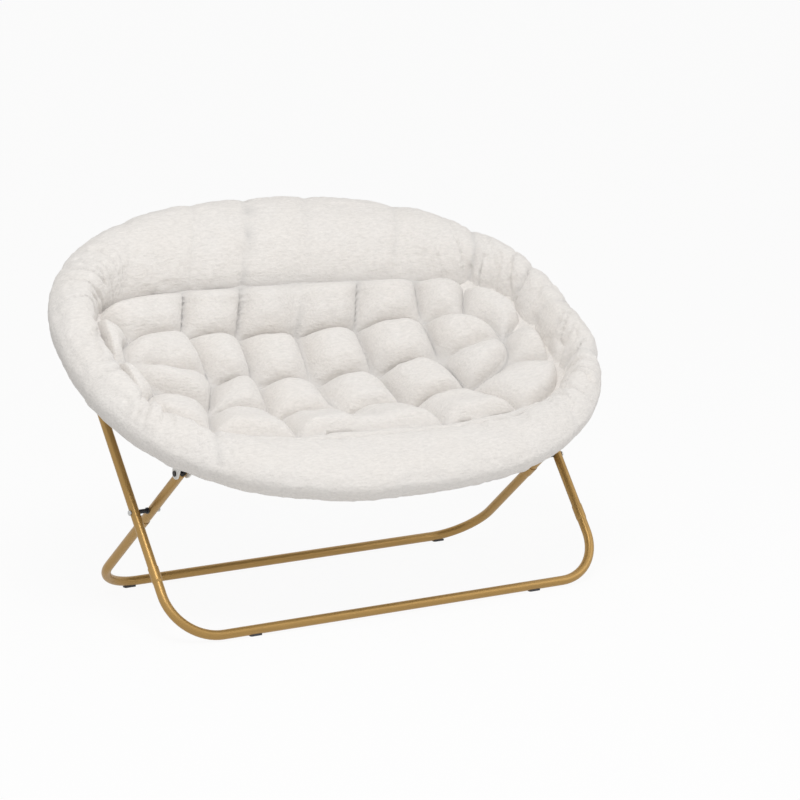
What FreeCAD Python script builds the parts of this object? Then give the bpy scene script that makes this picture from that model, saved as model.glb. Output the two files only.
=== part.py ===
import FreeCAD, Part
import math
import os
from FreeCAD import Placement, Rotation, Vector

# Folding saucer chair for two people, in millimetres.
# X runs along the seat, Y from front to back, Z up.
# The origin lies on the floor under the middle of the saucer.

# Steel tube
TUBE_R = 11.0            # outside radius of every frame tube
TUBE_WALL = 1.2
BEND_R = 115.0           # radius of the floor bar bends, on the tube's axis

# Leg frames
GLIDE_T = 2.0            # glide under the floor bars
FRONT_BAR_Y = -303.1
BAR_SPREAD = 516.2       # front floor bar to rear floor bar
FRONT_LEAN = 38.44       # degrees from the vertical, rising to the back
REAR_LEAN = 51.61        # degrees from the vertical, rising to the front
FRONT_LEG_X = 565.0      # half width over the axes of the front legs
REAR_LEG_X = 520.5
FRONT_REACH = 550.0      # crossing pivot to the back bracket's pin
REAR_REACH = 183.2       # crossing pivot to the front bracket's pin
FRONT_TIP = 2.0          # middle of a front leg's round top, below its pin
REAR_TIP = 4.5           # the same on a rear leg, whose top passes close under the ring
FRONT_JOINT = 182.0      # floor bar's axis to the swaged tube joint, along the leg
REAR_JOINT = 356.0
SOCKET_LEN = 32.0        # length of the swaged socket
SOCKET_TAPER = 6.0
SOCKET_FIT = 0.05        # radial clearance of a leg in its socket

# Saucer ring
RING_HEIGHT = 588.0      # middle of the ring above the floor
RING_TILT = 30.5         # degrees, back edge high
RING_A = 652.0           # half length on the tube's axis
RING_B = 495.0           # half width on the tube's axis
RING_END_R = 475.0       # radius of the oval's two ends
HINGE_DROP = 14.0        # hinge pins below the tube's axis

# Ring hinge
ARM_SETBACK = 46.0       # hinge pin to the tube's cut end, along the ring
ARM_T = 10.0             # thickness of a knuckle arm along the pin
ARM_GAP = 0.5            # between the two lapped arms
ARM_H = 17.0             # height of an arm where it leaves its eye
EYE_R = 12.0
ARM_ROOT = 0.7           # where an arm leaves its eye, as a share of the eye's radius
COLLAR_T = 4.0
KNUCKLE_ROOM = 1.2       # space in the padding for an arm, as a share of its length
KNUCKLE_SIDE = 8.0       # space in the padding beside the arms
KNUCKLE_REACH = 70.0     # the same along the slope, each way from the hinge
PLUG_LEN = 16.0
PLUG_FIT = 0.3           # radial clearance of a plug in a bent tube
HINGE_PIN_R = 4.0
HINGE_HEAD_R = 6.5
HINGE_HEAD_T = 2.5

# Leg brackets
EAR_T = 4.5
EAR_R = 13.0             # round end of an ear, about its pin
EAR_GAP = 0.5            # between a leg and each ear
EAR_TOP_R = 17.0         # round end of an ear about the ring tube
BRACKET_R = 15.5         # outside of the collar round the ring tube
BRACKET_FIT = 0.1        # collar bore over the ring tube
BRIDGE_W = 3.0           # underside of the bridge over the leg slot, above the ring's plane
SLOT_REACH = 62.0        # leg slot along the slope, each way from the ring tube
BORE_REACH = 8.0         # degrees by which the collar's bore runs past its ends
POCKET_MARGIN = 4.0      # space in the padding beside the ears
BARREL_R = 7.5
BARREL_LEN = 14.0
NECK_R = 4.5
NECK_LEN = 3.0

# Bolts and rivets
BOLT_R = 3.0
RUN_FIT = 0.05           # radial clearance of a bolt in a part that turns on it
HEAD_R = 6.5
HEAD_T = 4.0
HEAD_ROUND = 2.4         # rounding of a bolt head's rim
NUT_R = 5.8
NUT_T = 6.0
SIDE_GAP = 0.3           # along a pivot, between parts that turn against each other
SPACER_R = 5.0
SPACER_FLANGE_R = 7.2
SPACER_FLANGE_T = 4.0
PLUG_BODY = 34.0         # depth of a leg plug below its pin

# Glides
GLIDE_LEN = 30.0
GLIDE_W = 15.0
GLIDE_TOP = 7.0          # top of the glide's lips above the floor
GLIDE_ROUND = 4.5        # rounding of the glide's upright edges
FRONT_GLIDE_X = 370.0
REAR_GLIDE_X = 425.0

# Sling and padding
SLING_DEPTH = 174.0      # from its edge to its lowest point
SLING_EDGE_W = -11.3     # height of the sling's surface where it would meet the ring's axis
SLING_T = 3.0
SLING_EDGE_N = 12.0      # sling's sewn edge inward of the ring's axis
SLING_BACK_X = 546.0     # half width beside the front legs
SLING_WAIST_X = 498.0    # half width where the rear legs rise as the chair closes
SLING_WAIST_V = -70.0
SLING_FRONT_X = 482.0
FOLD_GAP = 0.6           # between the two halves at the fold line
SOFT_GAP = 0.4           # between soft pieces and what they lie on
BOWL_RINGS = 8           # straight bands that make up the dish
BOWL_FLAT = 0.06         # share of the dish's size that is flat in the middle
ROLL_OUT = 27.0          # roll outside the ring's axis
ROLL_OUT_W = 4.0         # height of its outermost line over the ring's plane
ROLL_CROWN_N = 85.0
ROLL_CROWN = 62.0        # height of a roll's lobes over the ring's plane
ROLL_SEAM = 47.0         # height at the seams between lobes
ROLL_HIGH = (-14.0, 28.0)       # inward of the ring's axis and height: upper end of the outer round
ROLL_LOW = (-6.0, -20.0)        # its lower end
SHOULDER = (27.2, 0.88)         # inward of the ring's axis, and height as a share of the crown's
BULGE = (0.62, 30.0, 0.45)      # inner face: share of the depth, more inward, share of the crown
BELLY = 0.55                    # bend in the underside, as a share of the depth
ROLL_BACK_D = 236.0      # crease inward of the ring's axis, at the back and the front
ROLL_SIDE_D = 163.0      # the same at the sides
CREASE_W = -62.0
BACK_LOBES = 12
FRONT_LOBES = 7
LOBE_STEPS = 2           # bands of a roll from one seam to the next
SLEEVE_SIDES = 8         # flats of the sleeve that the ring tube runs through
PAD_A = 485.5            # half length of the quilted seat inside the crease
PAD_B = 257.0
PAD_ROUND = 0.8          # end radius of the seat's ovals as a share of their half width
PAD_EDGE_W = -70.0
PAD_RINGS = (            # half length, half width and height: crests and channels in turn
    (462.0, 236.0, -64.0),
    (410.0, 198.0, -90.0),
    (345.0, 157.0, -126.0),
    (300.0, 124.0, -112.0),
    (240.0, 84.0, -128.0),
    (195.0, 50.0, -152.0),
    (150.0, 32.0, -136.0),
    (80.0, 16.0, -130.0),
)

# Worked out from the driving sizes
BAR_Z = GLIDE_T + TUBE_R
REAR_BAR_Y = FRONT_BAR_Y + BAR_SPREAD
BORE_R = TUBE_R - TUBE_WALL
END_X = RING_A - RING_END_R
RAIL_R = (END_X ** 2 + RING_B ** 2 - RING_END_R ** 2) / (2 * (RING_B - RING_END_R))
JUNCTION = math.degrees(math.atan2(RAIL_R - RING_B, END_X))
SLING_END_R = RING_END_R - SLING_EDGE_N
BAND_SAG = SLING_DEPTH * ((1 - BOWL_FLAT) / BOWL_RINGS) ** 2 / 4
PLACE = Placement(Vector(0, 0, RING_HEIGHT), Rotation(Vector(1, 0, 0), RING_TILT))


def crossing():
    """Side view place (y, z) of the pivot where front and rear legs cross."""
    front = math.tan(math.radians(FRONT_LEAN))
    rear = math.tan(math.radians(REAR_LEAN))
    rise = BAR_SPREAD / (front + rear)
    return FRONT_BAR_Y + rise * front, BAR_Z + rise


def along(start, lean, length, way):
    """Point in the side view at a distance from start; way is +1 to the back, -1 to the front."""
    turn = math.radians(lean)
    return start[0] + way * length * math.sin(turn), start[1] + length * math.cos(turn)


def to_ring(point):
    """Side view (y, z) to the ring's own (v, w): v up its slope, w square to it."""
    turn = math.radians(RING_TILT)
    y = point[0]
    z = point[1] - RING_HEIGHT
    return y * math.cos(turn) + z * math.sin(turn), z * math.cos(turn) - y * math.sin(turn)


PIVOT = crossing()
BACK_PIN = along(PIVOT, FRONT_LEAN, FRONT_REACH, 1)
FRONT_PIN = along(PIVOT, REAR_LEAN, REAR_REACH, -1)
BACK_PIN_VW = to_ring(BACK_PIN)
FRONT_PIN_VW = to_ring(FRONT_PIN)


def fold_line():
    """Slope place of the ring hinge: there the four-bar frame folds flat.

    The hinge is nearer to the front pin than to the back pin by the difference
    between the two reaches from the crossing pivot.
    """
    low, high = -RING_B, 0.0
    for _ in range(60):
        mid = (low + high) / 2
        to_back = math.hypot(mid - BACK_PIN_VW[0], -HINGE_DROP - BACK_PIN_VW[1])
        to_front = math.hypot(mid - FRONT_PIN_VW[0], -HINGE_DROP - FRONT_PIN_VW[1])
        if to_back - to_front > FRONT_REACH - REAR_REACH:
            low = mid
        else:
            high = mid
    return (low + high) / 2


FOLD_V = fold_line()
HINGE_PHI = math.degrees(math.asin(FOLD_V / RING_END_R))
HINGE_X = END_X + RING_END_R * math.cos(math.radians(HINGE_PHI))
ARM_TURN = math.degrees(ARM_SETBACK / RING_END_R)


def end_point(phi, inward=0.0, w=0.0):
    """Point on the right end of the oval, in ring axes; phi is from the X axis."""
    radius = RING_END_R - inward
    turn = math.radians(phi)
    return Vector(END_X + radius * math.cos(turn), radius * math.sin(turn), w)


def flip_x(point):
    return Vector(-point.x, point.y, point.z)


def mirrored(shape):
    return shape.mirror(Vector(0, 0, 0), Vector(1, 0, 0))


def pair(shape):
    """A right-hand solid and its left-hand twin."""
    return Part.makeCompound([shape, mirrored(shape)])


def placed(shape):
    """Ring axes to the chair's axes."""
    result = shape.copy()
    result.Placement = PLACE.multiply(result.Placement)
    return result


def swept(edges, radius):
    """Round bar along tangent lines and arcs."""
    path = Part.Wire(edges)
    start = path.Edges[0]
    first = start.FirstParameter
    profile = Part.Wire([Part.makeCircle(radius, start.valueAt(first), start.tangentAt(first))])
    return path.makePipeShell([profile], True, False)


def rod(radius, start, end):
    way = end - start
    return Part.makeCylinder(radius, way.Length, start, way)


def x_rod(radius, x0, x1, point):
    """Round bar along X through a side view point (y, z)."""
    return Part.makeCylinder(radius, x1 - x0, Vector(x0, point[0], point[1]), Vector(1, 0, 0))


def box(x0, x1, y0, y1, z0, z1):
    return Part.makeBox(x1 - x0, y1 - y0, z1 - z0, Vector(x0, y0, z0))


def ring_arc(phi0, phi1, radius):
    """Round bar along the right end of the oval between two angles."""
    start = end_point(phi0)
    turn = math.radians(phi0)
    tangent = Vector(-math.sin(turn), math.cos(turn), 0)
    face = Part.Face(Part.Wire([Part.makeCircle(radius, start, tangent)]))
    return face.revolve(Vector(END_X, 0, 0), Vector(0, 0, 1), phi1 - phi0)


# Leg frames

def frame_edges(half_x, bar_y, lean, way, length):
    """Path of a U frame: up one leg, along the floor and up the other leg."""
    bar = (bar_y, BAR_Z)

    def leg_point(x, distance):
        y, z = along(bar, lean, distance, way)
        return Vector(x, y, z)

    def bend(side):
        share = BEND_R * (1 - math.cos(math.pi / 4))
        on_leg = leg_point(side * half_x, BEND_R)
        middle = leg_point(side * (half_x - share), share)
        on_bar = leg_point(side * (half_x - BEND_R), 0)
        return on_leg, middle, on_bar

    left = bend(-1)
    right = bend(1)
    return [
        Part.LineSegment(leg_point(-half_x, length), left[0]).toShape(),
        Part.Arc(left[0], left[1], left[2]).toShape(),
        Part.LineSegment(left[2], right[2]).toShape(),
        Part.Arc(right[2], right[1], right[0]).toShape(),
        Part.LineSegment(right[0], leg_point(half_x, length)).toShape(),
    ]


def socket(half_x, bar_y, lean, way, joint):
    """Swaged end of a floor frame, outside and bore, round the foot of a leg."""
    bar = (bar_y, BAR_Z)

    def at(distance):
        y, z = along(bar, lean, distance, way)
        return Vector(half_x, y, z)

    axis = at(1) - at(0)
    wide = TUBE_R + SOCKET_FIT + TUBE_WALL
    neck = joint - SOCKET_LEN
    cone = Part.makeCone(TUBE_R, wide, SOCKET_TAPER, at(neck - SOCKET_TAPER), axis)
    outside = cone.fuse(rod(wide, at(neck), at(joint)))
    bore = rod(TUBE_R + SOCKET_FIT, at(neck), at(joint + 1))
    taper = Part.makeCone(BORE_R, TUBE_R + SOCKET_FIT, SOCKET_TAPER, at(neck - SOCKET_TAPER), axis)
    return outside, bore.fuse(taper)


def floor_frame(half_x, bar_y, lean, way, joint):
    """Floor bar, its two bends and the lower legs up to the swaged sockets."""
    outer = swept(frame_edges(half_x, bar_y, lean, way, joint - SOCKET_LEN), TUBE_R)
    inner = swept(frame_edges(half_x, bar_y, lean, way, joint - SOCKET_LEN), BORE_R)
    for side in (-1, 1):
        outside, bore = socket(side * half_x, bar_y, lean, way, joint)
        outer = outer.fuse(outside)
        inner = inner.fuse(bore)
    return outer.cut(inner)


def leg(x, bar_y, lean, way, joint, pin, tip_drop):
    """Leg tube from its socket to a round top about the bracket pin, with both pivot holes."""
    y, z = along((bar_y, BAR_Z), lean, joint - SOCKET_LEN, way)
    foot = Vector(x, y, z)
    top = Vector(x, pin[0], pin[1])
    over = (top - foot).normalize() * TUBE_R
    centre = along(pin, lean, -tip_drop, way)
    neck = Vector(x, centre[0], centre[1])
    tip = rod(TUBE_R, neck, top + over).common(x_rod(TUBE_R, x - TUBE_R, x + TUBE_R, centre))
    tube = rod(TUBE_R, foot, neck).fuse(tip).cut(rod(BORE_R, foot, top + over))
    hole = BOLT_R + RUN_FIT
    for point in (pin, PIVOT):
        tube = tube.cut(x_rod(hole, x - 2 * TUBE_R, x + 2 * TUBE_R, point))
    return tube


def leg_plug(x, lean, way, pin, tip_drop):
    """Moulded plug that rounds off a leg's top and carries the bore for its pin."""
    radius = BORE_R - RUN_FIT
    below = along(pin, lean, -PLUG_BODY, way)
    top = Vector(x, pin[0], pin[1])
    foot = Vector(x, below[0], below[1])
    over = (top - foot).normalize() * TUBE_R
    centre = along(pin, lean, -tip_drop, way)
    neck = Vector(x, centre[0], centre[1])
    tip = rod(radius, neck, top + over).common(x_rod(TUBE_R, x - TUBE_R, x + TUBE_R, centre))
    body = rod(radius, foot, neck).fuse(tip)
    return body.cut(x_rod(BOLT_R + RUN_FIT, x - 2 * TUBE_R, x + 2 * TUBE_R, pin))


def pivot_bolt():
    """Round-headed bolt through front leg, spacer and rear leg."""
    outer = FRONT_LEG_X + TUBE_R
    inner = REAR_LEG_X - TUBE_R - SIDE_GAP - NUT_T
    head = x_rod(HEAD_R, outer, outer + HEAD_T, PIVOT)
    rim = [edge for edge in head.Edges if edge.CenterOfMass.x > outer + HEAD_T / 2 and edge.Closed]
    head = head.makeFillet(HEAD_ROUND, rim)
    return head.fuse(x_rod(BOLT_R, inner, outer + HEAD_T / 2, PIVOT))


def pivot_spacer():
    """Flanged black sleeve that keeps the crossing legs apart."""
    inner = REAR_LEG_X + TUBE_R + SIDE_GAP
    outer = FRONT_LEG_X - TUBE_R
    sleeve = x_rod(SPACER_R, inner, outer, PIVOT)
    flange = x_rod(SPACER_FLANGE_R, inner, inner + SPACER_FLANGE_T, PIVOT)
    return sleeve.fuse(flange).cut(x_rod(BOLT_R + RUN_FIT, inner - 1, outer + 1, PIVOT))


def hex_nut(x0, x1, point, bore):
    """Hexagon nut along X."""
    corners = []
    for k in range(7):
        turn = math.radians(60 * k)
        corners.append(Vector(x0, point[0] + NUT_R * math.cos(turn), point[1] + NUT_R * math.sin(turn)))
    prism = Part.Face(Part.makePolygon(corners)).extrude(Vector(x1 - x0, 0, 0))
    return prism.cut(x_rod(bore, x0 - 1, x1 + 1, point))


def glide(x, bar_y):
    """Low plastic saddle under a floor bar, with rounded ends."""
    half = GLIDE_W / 2
    body = box(x - GLIDE_LEN / 2, x + GLIDE_LEN / 2, bar_y - half, bar_y + half, 0, GLIDE_TOP)
    upright = [edge for edge in body.Edges if abs(edge.tangentAt(edge.FirstParameter).z) > 0.9]
    body = body.makeFillet(GLIDE_ROUND, upright)
    return body.cut(x_rod(TUBE_R, x - GLIDE_LEN, x + GLIDE_LEN, (bar_y, BAR_Z)))


# Ring and its hinges, in ring axes

def ring_edges(phi0, top):
    """Path of a ring half from a cut end on the right, over a rail, to the left end."""
    sign = 1 if top else -1
    junction = sign * JUNCTION
    start = end_point(phi0)
    middle = end_point((phi0 + junction) / 2)
    corner = end_point(junction)
    crown = Vector(0, sign * RING_B, 0)
    return [
        Part.Arc(start, middle, corner).toShape(),
        Part.Arc(corner, crown, flip_x(corner)).toShape(),
        Part.Arc(flip_x(corner), flip_x(middle), flip_x(start)).toShape(),
    ]


def ring_tube(top):
    turn = ARM_TURN if top else -ARM_TURN
    edges = ring_edges(HINGE_PHI + turn, top)
    return swept(edges, TUBE_R).cut(swept(edges, BORE_R))


def knuckle(top):
    """Cast arm plugged into a ring tube's end, with a flat eye that laps its neighbour."""
    sign = 1 if top else -1
    x0 = HINGE_X + ARM_GAP / 2 if top else HINGE_X - ARM_GAP / 2 - ARM_T
    x1 = x0 + ARM_T
    hinge = (FOLD_V, -HINGE_DROP)
    eye = x_rod(EYE_R, x0, x1, hinge)
    phi = HINGE_PHI + sign * ARM_TURN
    turn = math.radians(phi)
    tube_end = end_point(phi)
    away = Vector(-math.sin(turn), math.cos(turn), 0) * sign
    side = Vector(math.cos(turn), math.sin(turn), 0)
    up = Vector(0, 0, 1)
    near_v = FOLD_V + sign * EYE_R * ARM_ROOT
    low = -HINGE_DROP - ARM_H / 2
    near = Part.makePolygon([
        Vector(x0, near_v, low), Vector(x1, near_v, low),
        Vector(x1, near_v, low + ARM_H), Vector(x0, near_v, low + ARM_H),
        Vector(x0, near_v, low)])
    half = ARM_H / 2
    face = tube_end - away * COLLAR_T
    far = Part.makePolygon([
        face - side * half - up * half, face + side * half - up * half,
        face + side * half + up * half, face - side * half + up * half,
        face - side * half - up * half])
    arm = loft([near, far])
    collar = rod(TUBE_R, face, tube_end)
    plug = rod(BORE_R - PLUG_FIT, tube_end, tube_end + away * PLUG_LEN)
    body = eye.fuse([arm, collar, plug]).removeSplitter()
    bore = HINGE_PIN_R if top else HINGE_PIN_R + RUN_FIT
    return body.cut(x_rod(bore, x0 - ARM_T, x1 + ARM_T, hinge))


def hinge_pin():
    """Headed pin fast in the outer arm, with the inner arm turning on it."""
    hinge = (FOLD_V, -HINGE_DROP)
    outer = HINGE_X + ARM_GAP / 2 + ARM_T
    inner = HINGE_X - ARM_GAP / 2 - ARM_T - SIDE_GAP
    shank = x_rod(HINGE_PIN_R, inner, outer, hinge)
    return shank.fuse([
        x_rod(HINGE_HEAD_R, outer, outer + HINGE_HEAD_T, hinge),
        x_rod(HINGE_HEAD_R, inner - HINGE_HEAD_T, inner, hinge)])


# Leg brackets, in ring axes

def ear(x0, x1, pin, tube_v):
    """Flat ear along X between a pin and the ring tube: the hull of two discs."""
    gap = math.hypot(tube_v - pin[0], pin[1])
    aim = math.atan2(-pin[1], tube_v - pin[0])
    open_angle = math.acos((EAR_R - EAR_TOP_R) / gap)
    corners = []
    for centre, radius, sign in (((pin[0], pin[1]), EAR_R, 1), ((tube_v, 0), EAR_TOP_R, 1),
                                 ((tube_v, 0), EAR_TOP_R, -1), ((pin[0], pin[1]), EAR_R, -1)):
        turn = aim + sign * open_angle
        corners.append(Vector(x0, centre[0] + radius * math.cos(turn),
                              centre[1] + radius * math.sin(turn)))
    web = Part.Face(Part.makePolygon(corners + corners[:1])).extrude(Vector(x1 - x0, 0, 0))
    return web.fuse([x_rod(EAR_R, x0, x1, pin), x_rod(EAR_TOP_R, x0, x1, (tube_v, 0))])


def ear_span(leg_x):
    """Inner faces of the two ears beside a leg."""
    half = TUBE_R + EAR_GAP
    return leg_x - half, leg_x + half


def slot_box(leg_x, sign, top_w, margin):
    """Space for a leg between the ears, under the ring's plane."""
    left, right = ear_span(leg_x)
    middle = sign * math.sqrt(RING_END_R ** 2 - (leg_x - END_X) ** 2)
    return box(left - margin, right + margin, middle - SLOT_REACH, middle + SLOT_REACH,
               -SLOT_REACH, top_w)


def bracket(leg_x, pin, sign):
    """Moulded clevis: a collar round the skewed ring tube and two flat ears for a leg."""
    left, right = ear_span(leg_x)
    phi_in = sign * math.degrees(math.acos((left - EAR_T - END_X) / RING_END_R))
    phi_out = sign * math.degrees(math.acos((right + EAR_T - END_X) / RING_END_R))
    collar = ring_arc(min(phi_in, phi_out), max(phi_in, phi_out), BRACKET_R)
    collar = collar.cut(slot_box(leg_x, sign, BRIDGE_W, 0))
    body = collar
    for x0 in (left - EAR_T, right):
        middle = x0 + EAR_T / 2
        tube_v = sign * math.sqrt(RING_END_R ** 2 - (middle - END_X) ** 2)
        body = body.fuse(ear(x0, x0 + EAR_T, pin, tube_v))
    start = min(phi_in, phi_out) - BORE_REACH
    end = max(phi_in, phi_out) + BORE_REACH
    body = body.cut(ring_arc(start, end, TUBE_R + BRACKET_FIT))
    return body.cut(x_rod(BOLT_R, left - 2 * EAR_T, right + 2 * EAR_T, pin)).removeSplitter()


def back_bolt():
    """Bolt through the back bracket's ears and the top of a front leg."""
    left, right = ear_span(FRONT_LEG_X)
    head = x_rod(HEAD_R, right + EAR_T, right + EAR_T + HEAD_T, BACK_PIN_VW)
    shank = x_rod(BOLT_R, left - EAR_T - NUT_T, right + EAR_T, BACK_PIN_VW)
    return head.fuse(shank)


def back_nut():
    left = ear_span(FRONT_LEG_X)[0] - EAR_T
    return hex_nut(left - NUT_T, left, BACK_PIN_VW, BOLT_R)


def front_rivet():
    """Dark rivet head on the outer ear of a front bracket, with its shank in the ear."""
    right = ear_span(REAR_LEG_X)[1]
    head = x_rod(HEAD_R, right + EAR_T, right + EAR_T + HINGE_HEAD_T, FRONT_PIN_VW)
    return head.fuse(x_rod(BOLT_R, right, right + EAR_T, FRONT_PIN_VW))


def front_barrel():
    """Flanged barrel nut on the inner ear of a front bracket."""
    left = ear_span(REAR_LEG_X)[0]
    inner = left - EAR_T
    neck = x_rod(NECK_R, inner - NECK_LEN, inner, FRONT_PIN_VW)
    barrel = x_rod(BARREL_R, inner - NECK_LEN - BARREL_LEN, inner - NECK_LEN, FRONT_PIN_VW)
    return barrel.fuse([neck, x_rod(BOLT_R, inner, left, FRONT_PIN_VW)])


# Sling and padding, in ring axes

def sling_share(x, v):
    """Size of the oval through a point, like the sling's edge in shape, as a share of it."""
    square = x ** 2 + v ** 2
    corner = math.radians(JUNCTION)
    corner_slope = SLING_END_R * math.sin(corner) / (END_X + SLING_END_R * math.cos(corner))
    if abs(v) < corner_slope * abs(x):
        toward = abs(x) * END_X
        rest = END_X ** 2 - SLING_END_R ** 2
    else:
        toward = -abs(v) * (RAIL_R - RING_B)
        rest = (RAIL_R - RING_B) ** 2 - (RAIL_R - SLING_EDGE_N) ** 2
    return square / (toward + math.sqrt(toward ** 2 - square * rest))


def sling_w(x, v):
    """Height of the dish's lower side, as its distance inside the edge sets it."""
    return SLING_EDGE_W - SLING_DEPTH * (1 - sling_share(x, v) ** 2)


def oval_wire(a, b, end_r, w):
    """Flat oval of four tangent arcs: half length, half width and end radius."""
    cx = a - end_r
    rail_r = (cx ** 2 + b ** 2 - end_r ** 2) / (2 * (b - end_r))
    turn = math.atan2(rail_r - b, cx)
    corner = Vector(cx + end_r * math.cos(turn), end_r * math.sin(turn), w)
    low = Vector(corner.x, -corner.y, w)
    arcs = [
        Part.Arc(low, Vector(a, 0, w), corner),
        Part.Arc(corner, Vector(0, b, w), flip_x(corner)),
        Part.Arc(flip_x(corner), Vector(-a, 0, w), flip_x(low)),
        Part.Arc(flip_x(low), Vector(0, -b, w), low),
    ]
    return Part.Wire([arc.toShape() for arc in arcs])


def loft(wires):
    """Solid through closed outlines, straight from each one to the next."""
    solid = Part.makeLoft(wires, True, True)
    if solid.Volume < 0:
        solid.reverse()
    return solid


def bowl(lift):
    """Solid inside the sling's dish, moved up by lift."""
    wires = []
    for k in range(BOWL_RINGS + 1):
        share = BOWL_FLAT + (1 - BOWL_FLAT) * k / BOWL_RINGS
        level = SLING_EDGE_W - SLING_DEPTH * (1 - share ** 2) + lift
        half_length_x = share * (RING_A - SLING_EDGE_N)
        half_width_v = share * (RING_B - SLING_EDGE_N)
        wires.append(oval_wire(half_length_x, half_width_v, share * SLING_END_R, level))
    return loft(wires)


def sling():
    """Woven dish, whole."""
    return bowl(0).cut(bowl(SLING_T))


def sling_back():
    """Part of the sling behind the fold, drawn in beside the legs."""
    reach = 2 * RING_A
    keep = box(-SLING_BACK_X, SLING_BACK_X, SLING_WAIST_V, reach, -reach, reach)
    waist = box(-SLING_WAIST_X, SLING_WAIST_X, FOLD_V + FOLD_GAP / 2, SLING_WAIST_V, -reach, reach)
    return sling().common(keep.fuse(waist))


def sling_front():
    reach = 2 * RING_A
    keep = box(-SLING_FRONT_X, SLING_FRONT_X, -reach, FOLD_V - FOLD_GAP / 2, -reach, reach)
    return sling().common(keep)


def roll_section(origin, inward, crown, depth):
    """Closed outline of the roll: outer edge, crown, inner face, crease and underside."""
    def at(n, w):
        return origin + inward * n + Vector(0, 0, w)

    def rest(n):
        point = at(n, 0)
        return sling_w(point.x, point.y) + SLING_T + BAND_SAG + SOFT_GAP

    outer_low = at(*ROLL_LOW)
    outer_high = at(*ROLL_HIGH)
    shoulder = at(SHOULDER[0], crown * SHOULDER[1])
    crest = at(ROLL_CROWN_N, crown)
    bulge = at(BULGE[0] * depth + BULGE[1], crown * BULGE[2])
    crease = at(depth, CREASE_W)
    toe = at(depth, rest(depth))
    belly = at(BELLY * depth, rest(BELLY * depth))
    lip = at(SLING_EDGE_N + SOFT_GAP, rest(SLING_EDGE_N))
    return Part.Wire([
        Part.Arc(outer_low, at(-ROLL_OUT, ROLL_OUT_W), outer_high).toShape(),
        Part.Arc(outer_high, shoulder, crest).toShape(),
        Part.Arc(crest, bulge, crease).toShape(),
        Part.LineSegment(crease, toe).toShape(),
        Part.LineSegment(toe, belly).toShape(),
        Part.LineSegment(belly, lip).toShape(),
        Part.LineSegment(lip, outer_low).toShape(),
    ])


def sleeve_section(origin, inward, room):
    """Flat-sided outline that clears the ring tube by room on every flat."""
    radius = room / math.cos(math.pi / SLEEVE_SIDES)
    corners = []
    for k in range(SLEEVE_SIDES + 1):
        turn = 2 * math.pi * k / SLEEVE_SIDES
        corners.append(origin + inward * (radius * math.cos(turn)) + Vector(0, 0, radius * math.sin(turn)))
    return Part.makePolygon(corners)


def oval_station(s, top):
    """Point and inward way at arc length s from the fold, over the rail to the other fold."""
    sign = 1 if top else -1
    end_len = math.radians(abs(sign * JUNCTION - HINGE_PHI)) * RING_END_R
    rail_len = 2 * math.radians(90 - JUNCTION) * RAIL_R
    total = 2 * end_len + rail_len
    flip = s > total / 2
    s = min(s, total - s)
    if s < end_len:
        phi = math.radians(HINGE_PHI) + sign * s / RING_END_R
        point = Vector(END_X + RING_END_R * math.cos(phi), RING_END_R * math.sin(phi), 0)
        inward = Vector(-math.cos(phi), -math.sin(phi), 0)
    else:
        psi = math.radians(90 - JUNCTION) - (s - end_len) / RAIL_R
        point = Vector(RAIL_R * math.sin(psi), sign * (RING_B - RAIL_R + RAIL_R * math.cos(psi)), 0)
        inward = Vector(-math.sin(psi), -sign * math.cos(psi), 0)
    if flip:
        return flip_x(point), flip_x(inward)
    return point, inward


def half_length(top):
    sign = 1 if top else -1
    end_len = math.radians(abs(sign * JUNCTION - HINGE_PHI)) * RING_END_R
    return 2 * end_len + 2 * math.radians(90 - JUNCTION) * RAIL_R


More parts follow.
